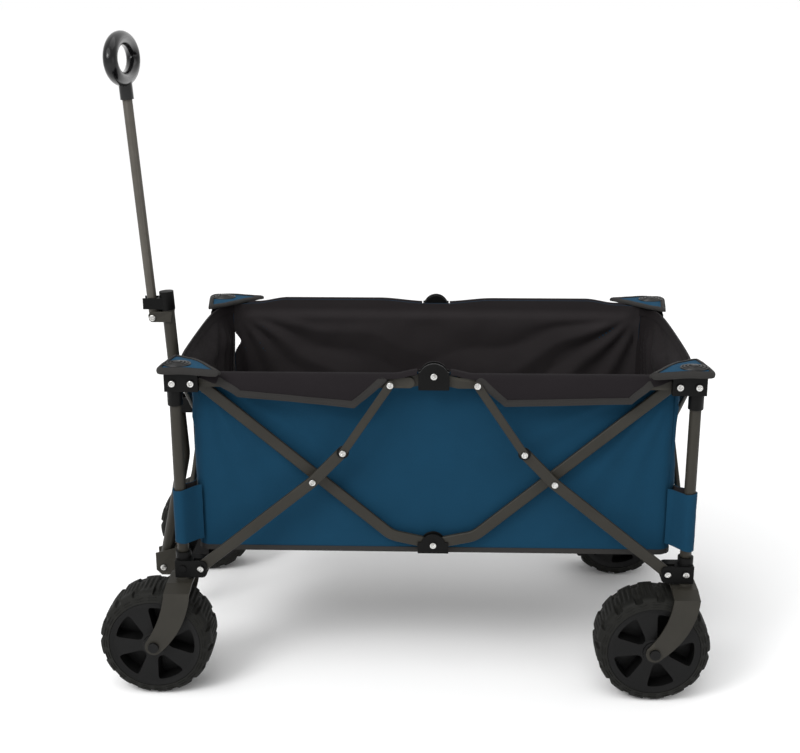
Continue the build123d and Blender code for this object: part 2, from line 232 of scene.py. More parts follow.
def moulded(name, colour, low, high, grain=900.0, depth=0.00008, specular=0.15):
    """Injection-moulded plastic with a fine spark-eroded grain and handling marks."""
    mat, tree, shader = new_material(name, colour, (low + high) / 2, specular=specular)
    place = coordinates(tree, "Object")
    fine = node(tree, "TexNoise", Vector=place, Scale=grain, Detail=2.0).outputs["Fac"]
    smear = node(tree, "TexNoise", Vector=place, Scale=25.0, Detail=5.0, Roughness=0.65).outputs["Fac"]
    tree.links.new(ramp(tree, smear, [(0.3, shade(colour, 0.85)), (0.75, shade(colour, 1.3))]),
                   shader.inputs["Base Color"])
    tree.links.new(ramp(tree, smear, [(0.3, (low,) * 3), (0.7, (high,) * 3)]), shader.inputs["Roughness"])
    bump(tree, shader, fine, depth, 0.5)
    return mat


def zinc_plate(name):
    """Bright zinc plate with fine turning marks and a faint yellow cast in places."""
    mat, tree, shader = new_material(name, (0.6, 0.6, 0.59), 0.25, metallic=1.0)
    place = coordinates(tree, "Object")
    marks = node(tree, "TexNoise", Vector=place, Scale=1500.0, Detail=2.0).outputs["Fac"]
    cast = node(tree, "TexNoise", Vector=place, Scale=160.0, Detail=3.0).outputs["Fac"]
    tree.links.new(ramp(tree, cast, [(0.3, (0.42, 0.41, 0.39)), (0.7, (0.68, 0.68, 0.67))]),
                   shader.inputs["Base Color"])
    tree.links.new(ramp(tree, marks, [(0.3, (0.18,) * 3), (0.7, (0.36,) * 3)]), shader.inputs["Roughness"])
    bump(tree, shader, marks, 0.00004, 0.4)
    return mat


def srgb(*levels):
    """Linear colour from display levels out of 255."""
    return tuple((c / 255 / 12.92) if c < 11 else ((c / 255 + 0.055) / 1.055) ** 2.4 for c in levels)


BLUE = woven("cloth_blue", srgb(17, 54, 76))
PATCH_BLUE = woven("cloth_patch_blue", srgb(24, 63, 87))
LINING = woven("cloth_lining", srgb(41, 38, 39), roughness=0.72)
# Darker copy of the lining cloth for the end walls: painted shade, standing in for the shade the end linings
# sit in
SHADED_END_LINING = woven("cloth_end_lining_painted_shade", srgb(30, 27, 28), roughness=0.72)
FLAP_CLOTH = woven("cloth_flap", srgb(29, 26, 28), roughness=0.76)
TAPE = ribbed("edge_tape", srgb(46, 45, 44))
THREAD = ribbed("thread", srgb(52, 50, 50))
FRAME_STEEL = powder_coat("powder_coat", srgb(41, 39, 34))
CAP = moulded("cap_plastic", srgb(24, 24, 24), 0.3, 0.42, specular=0.35)
BLACK = moulded("black_plastic", srgb(9, 9, 9), 0.36, 0.52, specular=0.1)
GRIP = moulded("grip_plastic", srgb(10, 10, 11), 0.14, 0.24, grain=400.0, depth=0.00004, specular=0.3)
WHEEL = moulded("wheel_plastic", srgb(12, 12, 12), 0.38, 0.55)
TYRE = moulded("tyre_rubber", srgb(24, 24, 22), 0.55, 0.75, grain=600.0, depth=0.00015, specular=0.12)
ZINC = zinc_plate("zinc")
# Lighter copy of the powder coat for the handle rod: painted highlight, standing in for the glossy light the
# rod catches
ROD_COAT_PAINTED_LIGHT = powder_coat("rod_coat_painted_highlight", srgb(70, 67, 62))
DARK = moulded("dark_bolt", srgb(14, 14, 14), 0.3, 0.45)


# ---------------------------------------------------------------- mesh helpers

def at(end, side, x, y, z):
    """A place on the cart, given for the rear far corner and mirrored to this one, in metres."""
    return Vector((CENTRE_X_M + end * x * MM, side * y * MM, z * MM))


def smooth(low, high, value):
    t = min(1.0, max(0.0, (value - low) / (high - low)))
    return t * t * (3 - 2 * t)


def bell(value, centre, width):
    return exp(-((value - centre) / width) ** 2)


def make(name, verts, faces, mats, body, slot, slots=None, uvs=None, sharp=50):
    """A mesh piece with its materials, riding on a body."""
    mesh = bpy.data.meshes.new(name)
    mesh.from_pydata([tuple(v) for v in verts], [], faces)
    for mat in mats:
        mesh.materials.append(mat)
    if slots:
        mesh.polygons.foreach_set("material_index", slots)
    if uvs:
        layer = mesh.uv_layers.new(name="cloth")
        for loop in mesh.loops:
            layer.data[loop.index].uv = uvs[loop.vertex_index]
    mesh.polygons.foreach_set("use_smooth", [True] * len(mesh.polygons))
    mesh.set_sharp_from_angle(angle=radians(sharp))
    mesh.validate()
    obj = bpy.data.objects.new(name, mesh)
    bpy.context.scene.collection.objects.link(obj)
    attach(obj, body)
    return obj


def outward(verts, faces):
    """Turns a closed mesh's faces so that its volume is positive."""
    volume = 0.0
    for face in faces:
        a = verts[face[0]]
        for b, c in zip(face[1:], face[2:]):
            volume += a.dot(verts[b].cross(verts[c]))
    return faces if volume > 0 else [tuple(reversed(f)) for f in faces]


def skin(rings):
    """Closed surface through rings of equal length, with a flat face at each end."""
    verts = [p for ring in rings for p in ring]
    count = len(rings[0])
    faces = []
    for i in range(len(rings) - 1):
        for j in range(count):
            k = (j + 1) % count
            faces.append((i * count + j, i * count + k, (i + 1) * count + k, (i + 1) * count + j))
    faces.append(tuple(reversed(range(count))))
    faces.append(tuple((len(rings) - 1) * count + j for j in range(count)))
    return verts, outward(verts, faces)


def lengths(points):
    total, found = 0.0, [0.0]
    for a, b in zip(points, points[1:]):
        total += (b - a).length
        found.append(total)
    return found


def cloth(name, rows, thick, toward, mats, body, slot="fabric"):
    """A thick sheet from rows of points: the first material faces toward, the second the other way."""
    n, m = len(rows), len(rows[0])

    def normal(i, j):
        along = rows[min(i + 1, n - 1)][j] - rows[max(i - 1, 0)][j]
        across = rows[i][min(j + 1, m - 1)] - rows[i][max(j - 1, 0)]
        return along.cross(across).normalized()

    normals = [[normal(i, j) for j in range(m)] for i in range(n)]
    sign = 1 if sum(v.dot(toward(rows[i][j])) for i, row in enumerate(normals)
                    for j, v in enumerate(row)) > 0 else -1
    half = sign * thick * MM / 2
    front = [rows[i][j] + normals[i][j] * half for i in range(n) for j in range(m)]
    back = [rows[i][j] - normals[i][j] * half for i in range(n) for j in range(m)]
    u, v = lengths([row[m // 2] for row in rows]), lengths(rows[n // 2])
    uvs = [(u[i], v[j]) for i in range(n) for j in range(m)] * 2
    faces, slots = [], []
    size = n * m
    for i in range(n - 1):
        for j in range(m - 1):
            quad = (i * m + j, (i + 1) * m + j, (i + 1) * m + j + 1, i * m + j + 1)
            faces += [quad, tuple(size + q for q in reversed(quad))]
            slots += [0, len(mats) - 1]
    edge = [i * m for i in range(n)] + [(n - 1) * m + j for j in range(1, m)]
    edge += [i * m + m - 1 for i in range(n - 2, -1, -1)] + list(range(m - 2, 0, -1))
    for a, b in zip(edge, edge[1:] + edge[:1]):
        faces.append((b, a, size + a, size + b))
        slots.append(0)
    verts = front + back
    return make(name, verts, outward(verts, faces), mats, body, slot, slots, uvs)


def rounded(half_a, half_b, radius, steps=4):
    """Closed outline of a rectangle with round corners, as (a, b) offsets."""
    radius = min(radius, half_a * 0.98, half_b * 0.98)
    points = []
    for ca, cb, start in ((1, 1, 0), (-1, 1, 90), (-1, -1, 180), (1, -1, 270)):
        for k in range(steps + 1):
            turn = radians(start + 90 * k / steps)
            points.append((ca * (half_a - radius) + radius * cos(turn),
                           cb * (half_b - radius) + radius * sin(turn)))
    return points


def bent_path(points, radius, steps=6):
    """The points with each inner corner replaced by a round bend."""
    path = [Vector(points[0])]
    for a, b, c in zip(points, points[1:], points[2:]):
        a, b, c = Vector(a), Vector(b), Vector(c)
        into, out = (b - a).normalized(), (c - b).normalized()
        turn = into.angle(out)
        if turn < 0.01:
            continue
        cut = min(radius * sin(turn / 2) / cos(turn / 2), (b - a).length * 0.45, (c - b).length * 0.45)
        for k in range(steps + 1):
            t = k / steps
            start, end = b - into * cut, b + out * cut
            path.append(start.lerp(b, t).lerp(b.lerp(end, t), t))
    return path + [Vector(points[-1])]


def flat_tube(name, points, half, layer, place, body, nodes, mat=FRAME_STEEL, bend=45.0):
    """A flattened tube through 2-D points, with round ends, between two planes. place(p, q, w) gives
    the point in metres for the path's own two coordinates and the depth w."""
    path = bent_path(points, bend)
    rings = []
    depth, thick = (layer[0] + layer[1]) / 2, (layer[1] - layer[0]) / 2
    first, last = (path[1] - path[0]).normalized(), (path[-1] - path[-2]).normalized()
    turns = [radians(a) for a in (88, 75, 60, 45, 30, 15)]
    stations = [(path[0] - first * half * sin(a), first, half * cos(a)) for a in turns]
    for i, p in enumerate(path):
        before = (p - path[i - 1]).normalized() if i else first
        after = (path[i + 1] - p).normalized() if i + 1 < len(path) else last
        stations.append((p, (before + after).normalized(), half))
    stations += [(path[-1] + last * half * sin(a), last, half * cos(a)) for a in reversed(turns)]
    for p, way, reach in stations:
        across = Vector((-way.y, way.x))
        ring = []
        for a, b in rounded(reach, thick, BAR_EDGE):
            q = p + across * a
            ring.append(place(q.x, q.y, depth + b))
        rings.append(ring)
    verts, faces = skin(rings)
    piece = make(name, verts, faces, [mat], body, "frame_steel", sharp=40)
    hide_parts(*nodes)
    return piece


def turned(name, profile, centre, axis, mat, body, slot, count=48, sharp=35):
    """A turned piece: profile is (radius, distance along the axis); its ends close on the axis."""
    axis = Vector(axis).normalized()
    one = axis.orthogonal().normalized()
    two = axis.cross(one)
    rings = []
    for radius, rise in profile:
        rings.append([centre + (axis * rise + one * radius * cos(2 * pi * k / count)
                                + two * radius * sin(2 * pi * k / count)) * MM for k in range(count)])
    verts, faces = skin(rings)
    return make(name, verts, faces, [mat], body, slot, sharp=sharp)


def soften(name, width, mat, segments=2, angle=38):
    """A CAD node keeps its shape, gets its material and small moulded or pressed edges."""
    obj = NODES[name]
    for place in range(len(obj.data.materials)):
        obj.material_slots[place].link = "OBJECT"
        obj.material_slots[place].material = mat
    if not obj.data.materials:
        obj.data.materials.append(mat)
    weld = obj.modifiers.new("weld", "WELD")
    weld.merge_threshold = 1e-5
    flat = obj.modifiers.new("flat", "DECIMATE")
    flat.decimate_type = "DISSOLVE"
    flat.angle_limit = radians(0.6)
    edge = obj.modifiers.new("edge", "BEVEL")
    edge.width, edge.segments = width * MM, segments
    edge.limit_method, edge.angle_limit = "ANGLE", radians(angle)
    edge.harden_normals = True
    return obj


# ---------------------------------------------------------------- bars and hardware

def screw(name, centre, axis, body, radius=SCREW_R, rise=4.4):
    """Pan-head screw with a cross recess, standing on its own flange."""
    axis = Vector(axis).normalized()
    one = axis.orthogonal().normalized()
    two = axis.cross(one)
    turn = sum(map(ord, name)) * 0.7
    one, two = one * cos(turn) + two * sin(turn), two * cos(turn) - one * sin(turn)
    count, arm, reach = 48, 0.95, 0.58 * radius
    grid = []
    for radial in (0.10, 0.2, 0.3, 0.4, 0.5, 0.56, 0.62, 0.72, 0.82, 0.9, 0.96, 1.0):
        ring = []
        for k in range(count):
            angle = 2 * pi * k / count
            a, b = radial * radius * cos(angle), radial * radius * sin(angle)
            height = rise * sqrt(1 - 0.45 * radial ** 2)
            inside = max(min(arm - abs(a), reach - abs(b)), min(arm - abs(b), reach - abs(a)))
            height -= 1.2 * smooth(-0.25, 0.35, inside)
            ring.append(centre + (one * a + two * b + axis * height) * MM)
        grid.append(ring)
    base = [centre + (one * radius * cos(2 * pi * k / count) + two * radius * sin(2 * pi * k / count)
                      - axis * 0.5) * MM for k in range(count)]
    verts, faces = skin(grid + [base])
    return make(name, verts, faces, [ZINC], body, "zinc", sharp=40)


def side_bars(e, s):
    end, side = ENDS[e], SIDES[s]
    tag = f"{e}_{s}"

    def place(x, z, y):
        return at(end, side, x, y, z)

    pin = Vector(BOTTOM_PIN)
    inner = pin + (Vector(LONG_BEND) - pin).normalized() * 22
    flat_tube(f"long_brace_tube_{tag}", [UPPER[::2], LONG_BEND, inner], 9.5, LAYERS["long"], place,
              f"long_brace_{tag}", [f"long_brace_{tag}"])
    flat_tube(f"short_brace_tube_{tag}", [LOWER[::2], CROSSING, LINK_LOW], 9.5, LAYERS["short"], place,
              f"short_brace_{tag}", [f"short_brace_{tag}"])
    flat_tube(f"link_strip_{tag}", [LINK_LOW, LINK_HIGH[::2]], 6.8, LAYERS["link"], place,
              f"link_{tag}", [f"link_{tag}"])
    for spot, body, out in (
        ((POST_X, RAIL_Z), "upper_corner", BLOCK_OUT), (UPPER[::2], "upper_corner", BLOCK_OUT),
        (LOWER[::2], "lower_corner", BLOCK_OUT), ((POST_X - 1, LOWER[2]), "lower_corner", BLOCK_OUT),
        (CROSSING, "short_brace", 248.5), (LINK_LOW, "link", 253.0), (LINK_HIGH[::2], "top_rail", 253.0),
    ):
        x, z = spot
        if e == "front" and spot == (POST_X - 1, LOWER[2]):
            continue
        screw(f"screw_{body}_{round(x)}_{tag}", at(end, side, x, out, z), (0, side, 0), f"{body}_{tag}")
    washer = [(1.0, -1.5), (9.6, -1.5), (10.2, -1.0), (10.2, 0.6), (9.4, 1.3), (1.0, 1.3)]
    turned(f"link_washer_{tag}", washer, at(end, side, LINK_LOW[0], 249.2, LINK_LOW[1]), (0, side, 0),
           BLACK, f"short_brace_{tag}", "black_plastic")


def end_bars():
    for e, end in ENDS.items():
        for s, side in SIDES.items():
            name = f"end_brace_{e}_{s}"
            low, high = (Vector(c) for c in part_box(name))
            layer = sorted(abs(x - CENTRE_X_M) / MM for x in (low.x, high.x))
            start = Vector((END_LOW[1], END_LOW[2]))
            goal = Vector((-END_LOW[1], RAIL_Z))
            free = goal + (start - goal).normalized() * 25
            flat_tube(f"end_brace_tube_{e}_{s}", [start, free], 9.0, layer,
                      lambda y, z, x: at(end, side, x, y, z), name, [name])


def hardware():
    for e, s in CORNERS:
        side_bars(e, s)
        tag = f"{e}_{s}"
        soften(f"post_{tag}", 0.6, FRAME_STEEL)
        soften(f"lower_corner_{tag}", 1.2, BLACK, 3)
        soften(f"upper_corner_{tag}", 1.2, BLACK, 3)
        soften(f"top_rail_{tag}", 1.6, FRAME_STEEL, 3)
        soften(f"fork_{tag}", 2.0, FRAME_STEEL, 4)
        soften(f"axle_{tag}", 0.8, DARK)
    for s, side in SIDES.items():
        soften(f"top_hinge_{s}", 0.9, BLACK, 3)
        soften(f"bottom_hinge_{s}", 0.9, BLACK, 3)
        out = (0, side, 0)
        screw(f"screw_top_hinge_{s}", at(1, side, TOP_PIN[0], 246.5, TOP_PIN[2]), out, f"top_hinge_{s}")
        screw(f"screw_bottom_hinge_{s}", at(1, side, 0, 230.0, BOTTOM_PIN[1]), out, f"bottom_hinge_{s}")
    end_bars()
    for side, name in ((-1, "near"), (1, "far")):
        for joint, y, body in (("handle_fold", 13.4, "handle_lower"), ("handle_pull", 15.5, "handle_hanger")):
            x, _, z = pivot(joint)
            screw(f"screw_{joint}_{name}", at(-1, side, x, y, z), (0, side, 0), body, HANDLE_SCREW_R)
    soften("handle_hanger", 0.8, FRAME_STEEL)
    soften("front_clip", 0.8, BLACK)
    soften("handle_lower_tube", 0.5, FRAME_STEEL)
    soften("handle_cap", 1.2, BLACK, 3)
    soften("handle_bracket", 0.7, FRAME_STEEL)
    # The handle rod takes the lighter coat copy, which is a painted highlight
    soften("handle_upper_rod", 0.5, ROD_COAT_PAINTED_LIGHT)
    soften("grip", 1.2, GRIP, 3)


# ---------------------------------------------------------------- wheels

def tyre_profile():
    """(radius, offset from the middle plane, rib depth, lug depth, dash height) across the tyre."""
    half = [(96.0, 2, 1.5, 0, 0), (96.0, 9, 1.5, 0, 0), (96.0, 13, 1.5, 0.8, 0), (95.9, 17, 1.4, 3.2, 0),
            (95.7, 21, 0.8, 4.4, 0), (95.4, 26, 0, 4.6, 0), (94.9, 30.0, 0, 4.6, 0), (93.8, 33.0, 0, 4.2, 0),
            (92.2, 35.0, 0, 2.8, 0), (90.8, 36.0, 0, 1.0, 0), (89.6, 36.7, 0, 0, 0), (89.0, 37.0, 0, 0, 1.2),
            (87.2, 37.9, 0, 0, 1.2), (86.6, 38.2, 0, 0, 0), (84.8, 39.0, 0, 0, 0), (84.2, 39.2, 0, 0, 1.1),
            (82.6, 39.9, 0, 0, 1.1), (82.0, 40.1, 0, 0, 0), (80.4, 41.0, 0, 0, 0), (79.0, 41.7, 0, 0, 0),
            (77.9, 41.5, 0, 0, 0), (77.5, 40.0, 0, 0, 0), (77.3, 37.0, 0, 0, 0)]
    return [(r, -y, *rest) for r, y, *rest in reversed(half)] + half


def wheel(e, s):
    tag = f"{e}_{s}"
    centre = middle_m(f"tyre_{tag}")
    count = 288
    side = SIDES[s]
    rings = []
    for k in range(count):
        angle = 2 * pi * k / count
        rib = 1.0 if k % 4 in (2, 3) else 0.0
        lug = 1.0 if k % 18 >= 12 else 0.0
        dash = 1.0 if (k + 3) % 12 < 8 else 0.0
        ring = []
        for r, y, ribs, lugs, dashes in tyre_profile():
            reach = r - rib * ribs - lug * lugs
            out = y + copysign(dash * dashes, y)
            ring.append(centre + Vector((reach * cos(angle), side * out, reach * sin(angle))) * MM)
        rings.append(ring)
    m = len(rings[0])
    verts = [p for ring in rings for p in ring]
    faces = []
    for i in range(count):
        n = (i + 1) % count
        for j in range(m):
            faces.append((i * m + j, i * m + (j + 1) % m, n * m + (j + 1) % m, n * m + j))
    tyre = make(f"tyre_ribbed_{tag}", verts, outward(verts, faces), [TYRE], f"wheel_{tag}", "tyre", sharp=32)
    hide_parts(f"tyre_{tag}")
    hub(e, s, centre)


HUB_FACE, HUB_BOSS, HUB_R = 38.0, 45.0, 77.2
POCKET_IN, POCKET_OUT, POCKET_DEEP, POCKET_ROUND = 24.0, 67.0, 27.0, 4.0
SPOKE_HALF = 9.0


def spoke_half(radius):
    """Half the width of the solid between two pockets, wider where a pocket's corners are round."""
    gap = min(radius - POCKET_IN, POCKET_OUT - radius)
    extra = 0.0
    if gap < POCKET_ROUND:
        gap = max(gap, 0.0)
        extra = POCKET_ROUND - sqrt(POCKET_ROUND ** 2 - (POCKET_ROUND - gap) ** 2)
    return SPOKE_HALF + 0.2 * (radius - POCKET_IN) + extra


def hub_ring(radius, floor, start):
    """One ring of the wheel face: per spoke, (angle, drop) pairs that keep the pocket's walls in line."""
    half = asin(min(0.95, spoke_half(min(max(radius, POCKET_IN), POCKET_OUT)) / max(radius, 14.0)))
    step = radians(72)
    half = min(half, step * 0.42)
    wall = 0.9 / max(radius, 20.0)
    pairs = []
    for k in range(5):
        base = start + k * step
        for share in (0.0, 0.5, 0.85):
            pairs.append((base + half * share, 0))
        pairs.append((base + half, 0))
        pairs.append((base + half + wall, floor))
        for share in (0.2, 0.4, 0.6, 0.8):
            low, high = base + half + wall, base + step - half - wall
            pairs.append((low + (high - low) * share, floor))
        pairs.append((base + step - half - wall, floor))
        pairs.append((base + step - half, 0))
        for share in (0.85, 0.5):
            pairs.append((base + step - half * share, 0))
    return pairs


def hub(e, s, centre):
    """Moulded wheel with five deep pockets in each face, a stepped boss and a rim."""
    tag = f"{e}_{s}"
    side = SIDES[s]
    start = radians(41 if e == "front" else 31)
    radii = [(6.0, 44.0, 0), (9.0, 44.6, 0), (9.6, HUB_BOSS, 0), (17.0, HUB_BOSS, 0), (18.6, 44.2, 0),
             (19.4, 40.4, 0), (21.0, 39.4, 0), (23.6, 39.2, 0), (POCKET_IN + 0.8, 39.1, 1)]
    steps = 9
    for k in range(1, steps):
        r = POCKET_IN + 0.8 + (POCKET_OUT - POCKET_IN - 1.6) * k / steps
        radii.append((r, 39.1 - 1.1 * k / steps, 1))
    radii += [(POCKET_OUT - 0.8, HUB_FACE, 1), (POCKET_OUT + 0.2, HUB_FACE, 0), (70.5, HUB_FACE + 0.5, 0),
              (74.0, HUB_FACE + 2.2, 0), (76.2, HUB_FACE + 3.0, 0), (HUB_R, HUB_FACE + 2.8, 0)]
    rings = []
    for face in (1, -1):
        found = []
        for radius, level, open_ in radii:
            floor = POCKET_DEEP if open_ else 0
            ring = [Vector((radius * cos(a), side * face * (level - drop), radius * sin(a)))
                    for a, drop in hub_ring(radius, floor, start)]
            found.append([centre + p * MM for p in ring])
        rings += found if face == 1 else list(reversed(found))
    verts, faces = skin(rings)
    piece = make(f"wheel_moulding_{tag}", verts, faces, [WHEEL], f"wheel_{tag}", "wheel_plastic", sharp=30)
    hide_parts(f"wheel_hub_{tag}")


# ---------------------------------------------------------------- bag

SIDE_RUN = WALL_X - WALL_CORNER
ARC = WALL_CORNER * pi / 4
END_RUN = WALL_Y - WALL_CORNER


def perimeter(run, kind):
    """Plan of the wall: point and outward direction at a run from the middle of a side or an end."""
    straight = SIDE_RUN if kind == "side" else END_RUN
    if abs(run) <= straight:
        return (run, WALL_Y, 0.0, 1.0) if kind == "side" else (WALL_X, run, 1.0, 0.0)
    turn = (abs(run) - straight) / WALL_CORNER
    sign = 1 if run > 0 else -1
    a, b = sin(turn), cos(turn)
    if kind == "side":
        return (sign * (SIDE_RUN + WALL_CORNER * a), END_RUN + WALL_CORNER * b, sign * a, b)
    return (SIDE_RUN + WALL_CORNER * b, sign * (END_RUN + WALL_CORNER * a), b, sign * a)


def ridge(value):
    """A soft ridge that repeats once a unit, sharper on top than in the hollows."""
    return 1 - abs(2 * (value % 1.0) - 1) ** 0.8 * 2


FAR_LINING = 4.2
FOLDS = {"side": (15.0, 3.4, 330.0), "end": (17.0, 5.0, 330.0)}


def drape(run, z, kind, seed):
    """How far the cloth stands out of its plan, in millimetres: fans of folds from the upper corners."""
    reach = SIDE_RUN + ARC if kind == "side" else END_RUN + ARC
    count, size, spread = (21.0, 5.8, 450.0) if seed == FAR_LINING else FOLDS[kind]
    total = 0.0
    for sign in (-1, 1):
        dx, dz = reach - sign * run, WALL_TOP + 6 - z
        r = hypot(dx, dz)
        fan = degrees(atan2(dz, dx)) + 4 * noise.noise(Vector((r / 110, seed, sign)))
        strength = smooth(15, 90, r) * exp(-(r / spread) ** 2)
        strength *= smooth(2, 14, fan) * (1 - smooth(74, 90, fan) * (0.8 if kind == "side" else 0.2))
        total += strength * ridge(fan / count + seed * 0.37 + 0.2 * sign)
    loose = noise.noise(Vector((run / 95, z / 120, seed * 3.1)))
    fine = noise.noise(Vector((run / 34 + 7, z / 46, seed * 1.7)))
    hold = smooth(0, 26, z - WALL_FOOT) * smooth(0, 26, WALL_TOP - z)
    return hold * (size * total + 3.6 * loose + 1.3 * fine)


def wall_point(run, z, kind, end, side, out=0.0):
    """A point of the bag's wall. run is signed across the whole side or end."""
    seed = {("side", -1): 1.3, ("side", 1): FAR_LINING, ("end", -1): 7.7, ("end", 1): 9.6}[
        (kind, side if kind == "side" else end)]
    x, y, nx, ny = perimeter(run, kind)
    stand = drape(run, z, kind, seed)
    if kind == "side":
        outer = side == 1
        stand = min(stand, 3.2) if outer else stand * 0.8 - 0.5
        stand = max(-12.0, stand)
        curl = smooth(541, 556, z) * (7.0 if outer else 13.6) * (1 - smooth(360, 378, abs(run)))
        stand = stand * (1 - smooth(525, 545, z)) + curl
    else:
        bow = 9.0 * cos(min(1.0, abs(run) / END_RUN) * pi / 2) * smooth(470, 556, z)
        slack = -7.0 * sin(pi * smooth(WALL_FOOT, 500, z)) * cos(min(1.0, abs(run) / END_RUN) * pi / 2)
        edge = min(1.0, abs(run) / (END_RUN + ARC))
        flare = 24.0 * smooth(505, 562, z) * (1 - edge ** 8)
        stand = min(10.0, stand + bow + slack) + flare
    stand += out
    if kind == "side":
        return Vector((CENTRE_X_M + (x + nx * stand) * MM, side * (y + ny * stand) * MM, z * MM))
    return Vector((CENTRE_X_M + end * (x + nx * stand) * MM, (y + ny * stand) * MM, z * MM))


def far_rise(run):
    """How far the loose rim cloth on the far side arches over its rail."""
    run = abs(run)
    return 8.0 + 6.5 * smooth(20, 110, run) - 8.0 * smooth(290, 350, run)


def wall_top(run, kind, s):
    """Height of the wall's upper edge; it climbs over the raised lugs beside the top hinge."""
    if kind == "end":
        return 567.0 - 8.0 * cos(min(1.0, abs(run) / END_RUN) * pi / 2)
    if s == "far":
        return 562.0 + far_rise(run)
    return 557.5 + 7.0 * (1 - smooth(22, 66, abs(run)))


def slit(z, wide):
    """How far a wall's edge stays back from the corner seam, at the open stretch below the rim."""
    return wide * bell(z, 494, 15) - 1.2


def wall_rows(kind, e, s, low, high, across, up, out=0.0, whole=False):
    """Rows of points from the middle of a side or an end to the corner, between two heights."""
    end, side = ENDS[e], SIDES[s]
    sign = end if kind == "side" else side
    reach = (SIDE_RUN if kind == "side" else END_RUN) + ARC
    rows = []
    for i in range(across + 1):
        row = []
        share = i / across
        for j in range(up + 1):
            level = j / up
            top = high if high is not None else wall_top(reach * share, kind, s)
            z = low + (top - low) * level
            wide = 14.0 if (kind, e, s) == ("side", "front", "far") and not whole else 0.0
            run = (reach - slit(z, wide)) * share
            row.append(wall_point(sign * run, z, kind, end, side, out))
        rows.append(row)
    return rows


def corner_of(e, s):
    return at(ENDS[e], SIDES[s], WALL_X, WALL_Y, 400)


def follow(piece, kind, e, s):
    """Gives the cloth piece a mesh of its own."""
    tuple(corner_of(e, s))
    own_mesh(piece)


def outside_of(kind, end, side):
    return lambda p: Vector((0, side, 0)) if kind == "side" else Vector((end, 0, 0))


def bag_walls(e, s):
    end, side = ENDS[e], SIDES[s]
    body = f"upper_corner_{e}_{s}"
    for kind, across, up, width in (("side", 64, 60, 0.40), ("end", 40, 60, 0.21)):
        rows = wall_rows(kind, e, s, WALL_FOOT, None, across, up)
        # On the end walls the inner face takes the darker lining copy, which is painted shade
        wall = cloth(f"bag_{kind}_{e}_{s}", rows, CLOTH, outside_of(kind, end, side),
                     [BLUE, LINING if kind == "side" else SHADED_END_LINING], body)
        follow(wall, kind, e, s)
        hem_rows = wall_rows(kind, e, s, WALL_FOOT - 6.5, WALL_FOOT + 2.5, across // 2, 4, 0.3, True)
        hem = cloth(f"bag_hem_{kind}_{e}_{s}", hem_rows, 3.4, outside_of(kind, end, side), [TAPE], body)
        follow(hem, kind, e, s)
        if kind == "side":
            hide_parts("bag")
        if kind == "end":
            rim_rows = []
            for row in wall_rows(kind, e, s, 540.0, None, across // 2, 8, 0.0):
                rim_rows.append([p + Vector((0, 0, 0.0008)) for p in row[3:]])
            # The end rim takes the darker lining copy as well: painted shade
            rim = cloth(f"bag_rim_{e}_{s}", rim_rows, 3.6, outside_of(kind, end, side), [SHADED_END_LINING], body)
            follow(rim, kind, e, s)


def bag_floor(e, s):
    """A quarter of the floor: lining on top, hem cloth below, hanging a little between its edges."""
    end, side = ENDS[e], SIDES[s]
    rows = []
    for i in range(25):
        row = []
        for j in range(17):
            x, y = (WALL_X - 3) * i / 24, (WALL_Y - 3) * j / 16
            if x > SIDE_RUN and y > END_RUN:
                dx, dy = x - SIDE_RUN, y - END_RUN
                pull = max(1.0, hypot(dx, dy) / (WALL_CORNER - 3))
                x, y = SIDE_RUN + dx / pull, END_RUN + dy / pull
            rest = (1 - (x / WALL_X) ** 4) * (1 - (y / WALL_Y) ** 4)
            ripple = noise.noise(Vector((end * x / 80, side * y / 70, 2.2)))
            row.append(at(end, side, x, y, WALL_FOOT + 1.5 - rest * (5.0 - 2.5 * ripple)))
        rows.append(row)
    floor = cloth(f"bag_floor_{e}_{s}", rows, 2.4, lambda p: Vector((0, 0, 1)), [LINING, TAPE],
                  f"upper_corner_{e}_{s}")
    follow(floor, "side", e, s)


def share_of(low, high, value):
    return min(1.0, max(0.0, (value - low) / (high - low)))


def flap_low(x, e):
    """Height of a flap's lower edge along the rail: slanted ends and a nearly straight bottom."""
    near, far, first, last = (74, 129, 47.6, 29.6) if e == "front" else (66, 115, 43.6, 37.6)
    drop = first + (last - first) * share_of(far, 318, x)
    drop *= share_of(near, far, x) * (1 - share_of(318, 350, x))
    return 556.6 - drop - 9.0 * smooth(320, 352, x) * (1 - smooth(352, 384, x))


def flap_point(end, side, x, z, seed):
    """A point on the hanging face of a flap."""
    fall = 556.6 - z
    wavy = noise.noise(Vector((x / 60, seed, 0.3)))
    roll = 3.6 * sin(pi * min(1.0, fall / 36))
    y = FLAP_OUT + roll + min(5.0, fall * (0.05 + 0.05 * wavy))
    return at(end, side, x, y + 0.5 * noise.noise(Vector((x / 22, z / 22, seed))), z)


